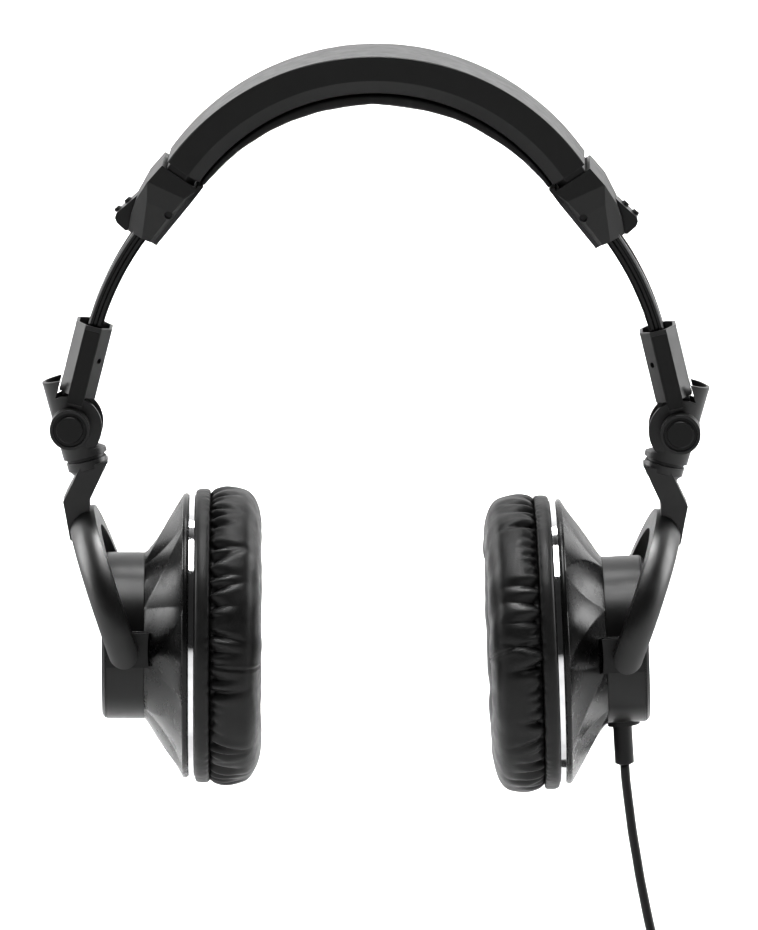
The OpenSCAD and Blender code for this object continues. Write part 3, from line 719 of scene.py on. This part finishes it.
MATERIALS = {
    "shell_plastic": lambda slot: plastic(slot, (0.005,) * 3, 0.34, edge=0.3),
    "cap_plastic": lambda slot: plastic(slot, (0.0055,) * 3, 0.36, edge=0.25),
    "slider_plastic": lambda slot: plastic(slot, (0.003,) * 3, 0.22, depth=0.1, edge=0.2),
    "arm_plastic": lambda slot: plastic(slot, (0.005,) * 3, 0.4, edge=0.25, Specular_IOR_Level=0.75),
    "yoke_plastic": lambda slot: plastic(slot, (0.003,) * 3, 0.38, depth=0.15, edge=0.3,
                                         Specular_IOR_Level=0.9),
    "hub_plastic": lambda slot: plastic(slot, (0.006,) * 3, 0.33, depth=0.18, edge=0.25),
    "cup_gloss": lambda slot: plastic(slot, (0.003,) * 3, 0.26, depth=0.1, edge=0.15),
    "dark_plastic": lambda slot: plastic(slot, (0.004,) * 3, 0.45, edge=0.15),
    "trim_chrome": lambda slot: metal(slot, (0.92, 0.92, 0.93), 0.07),
    "spring_steel": lambda slot: metal(slot, (0.5, 0.5, 0.5), 0.35, (1, 12, 1)),
    "plain_steel": lambda slot: metal(slot, (0.6, 0.6, 0.6), 0.3, (1, 12, 1)),
    "black_steel": lambda slot: metal(slot, (0.05, 0.05, 0.05), 0.35),
    "magnet_coating": lambda slot: metal(slot, (0.5, 0.5, 0.52), 0.3),
    "diaphragm_film": lambda slot: plastic(slot, (0.3, 0.3, 0.32), 0.3),
    "scrim_fabric": lambda slot: cloth(slot, (0.012,) * 3, 0.5),
    "band_leatherette": lambda slot: leatherette(slot, (0.011,) * 3, 0.5, 0.6, 0.22),
    "pad_leatherette": lambda slot: leatherette(slot, (0.012,) * 3, 0.44, 0.7, 0.25),
    "boot_rubber": lambda slot: plastic(slot, (0.009,) * 3, 0.5, grain=0.2, edge=0.3),
    "lead_jacket": lambda slot: plastic(slot, (0.007,) * 3, 0.42, grain=0.25, edge=0.1),
    "tie_strap": lambda slot: cloth(slot, (0.02,) * 3, 0.4),
    "contact_metal": lambda slot: metal(slot, (0.85, 0.66, 0.32), 0.22),
}


def paint(obj, material):
    obj.data.materials.clear()
    obj.data.materials.append(material)
    obj.data.polygons.foreach_set("material_index", [0] * len(obj.data.polygons))


def paint_everything(pieces):
    made = {slot: make(slot) for slot, make in MATERIALS.items()}
    slots = {row["node"]: row["material_slot"] for row in frame["record"]["subparts"]}
    for node, obj in frame["nodes"].items():
        paint(obj, made[slots[node]])
    for piece in pieces:
        paint(piece, made[piece["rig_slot"]])


# ---- stage and light ----

FLOOR_Z = -0.36
FLOOR_HALF = 25
FLOOR_ALBEDO = 0.55
WORLD_FADE = {
    "From Min": -0.1,    # how far a direction points to +Y where the world starts to brighten
    "From Max": 0.95,    # and where it is brightest
    "To Min": 0.03,      # its darkest and brightest strength
    "To Max": 1.5,
}


def add_floor():
    h = FLOOR_HALF
    corners = [(x, y, FLOOR_Z) for x, y in ((-h, -h), (h, -h), (h, h), (-h, h))]
    floor = mesh_object("floor", corners, [(0, 1, 2, 3)], smooth=False)
    m = Shader("floor_paper", (FLOOR_ALBEDO,) * 3, 0.9)
    m.vary_colour(m.noise(0.4, 2), 0.99, 1.0)
    paint(floor, m.done())


def add_world():
    """Bright behind the object, and nearly black on the camera's side, so that black surfaces stay black."""
    world = bpy.data.worlds.new("studio")
    bpy.context.scene.world = world
    world.use_nodes = True
    nodes, links = world.node_tree.nodes, world.node_tree.links
    place = nodes.new("ShaderNodeTexCoord")
    apart = nodes.new("ShaderNodeSeparateXYZ")
    fade = nodes.new("ShaderNodeMapRange")
    fade.interpolation_type = "SMOOTHSTEP"
    for key, limit in WORLD_FADE.items():
        fade.inputs[key].default_value = limit
    links.new(place.outputs["Generated"], apart.inputs["Vector"])
    links.new(apart.outputs["Y"], fade.inputs["Value"])
    links.new(fade.outputs["Result"], nodes["Background"].inputs["Strength"])
    nodes["Background"].inputs["Color"].default_value = (1, 1, 1, 1)


def add_light(name, place, target, size, radiance, spread=180):
    data = bpy.data.lights.new(name, "AREA")
    data.shape = "RECTANGLE"
    data.size, data.size_y = size
    data.energy = radiance * math.pi * size[0] * size[1]
    data.spread = math.radians(spread)
    light = bpy.data.objects.new(name, data)
    light.location = place
    light.rotation_euler = (Vector(target) - Vector(place)).to_track_quat("-Z", "Y").to_euler()
    bpy.context.scene.collection.objects.link(light)


def add_lights():
    """Large soft boxes overhead and at both sides, and a narrow one that lights the floor behind."""
    aim = (0, 0, -0.12)
    add_light("top", (0, 0.1, 4.5), aim, (2.6, 4.6), 7)
    add_light("left", (-4.2, 1.2, 1.5), aim, (3.2, 3.0), 6)
    add_light("right", (4.2, 1.2, 1.5), aim, (3.2, 3.0), 6)
    add_light("background", (0, 2.1, 4.5), (0, 2.1, FLOOR_Z), (1.2, 3.4), 3.3, spread=24)


# ---- everything put together ----

pieces = [lead, make_headband_pad(), make_strap()]
for side in SIDES:
    pieces += [*make_ear_pad(side), make_cup_shell(side), make_scrim(side)]
paint_everything(pieces)
add_floor()
add_world()
add_lights()
bpy.context.scene.view_settings.view_transform = "Standard"
bpy.context.scene.view_settings.gamma = 0.86
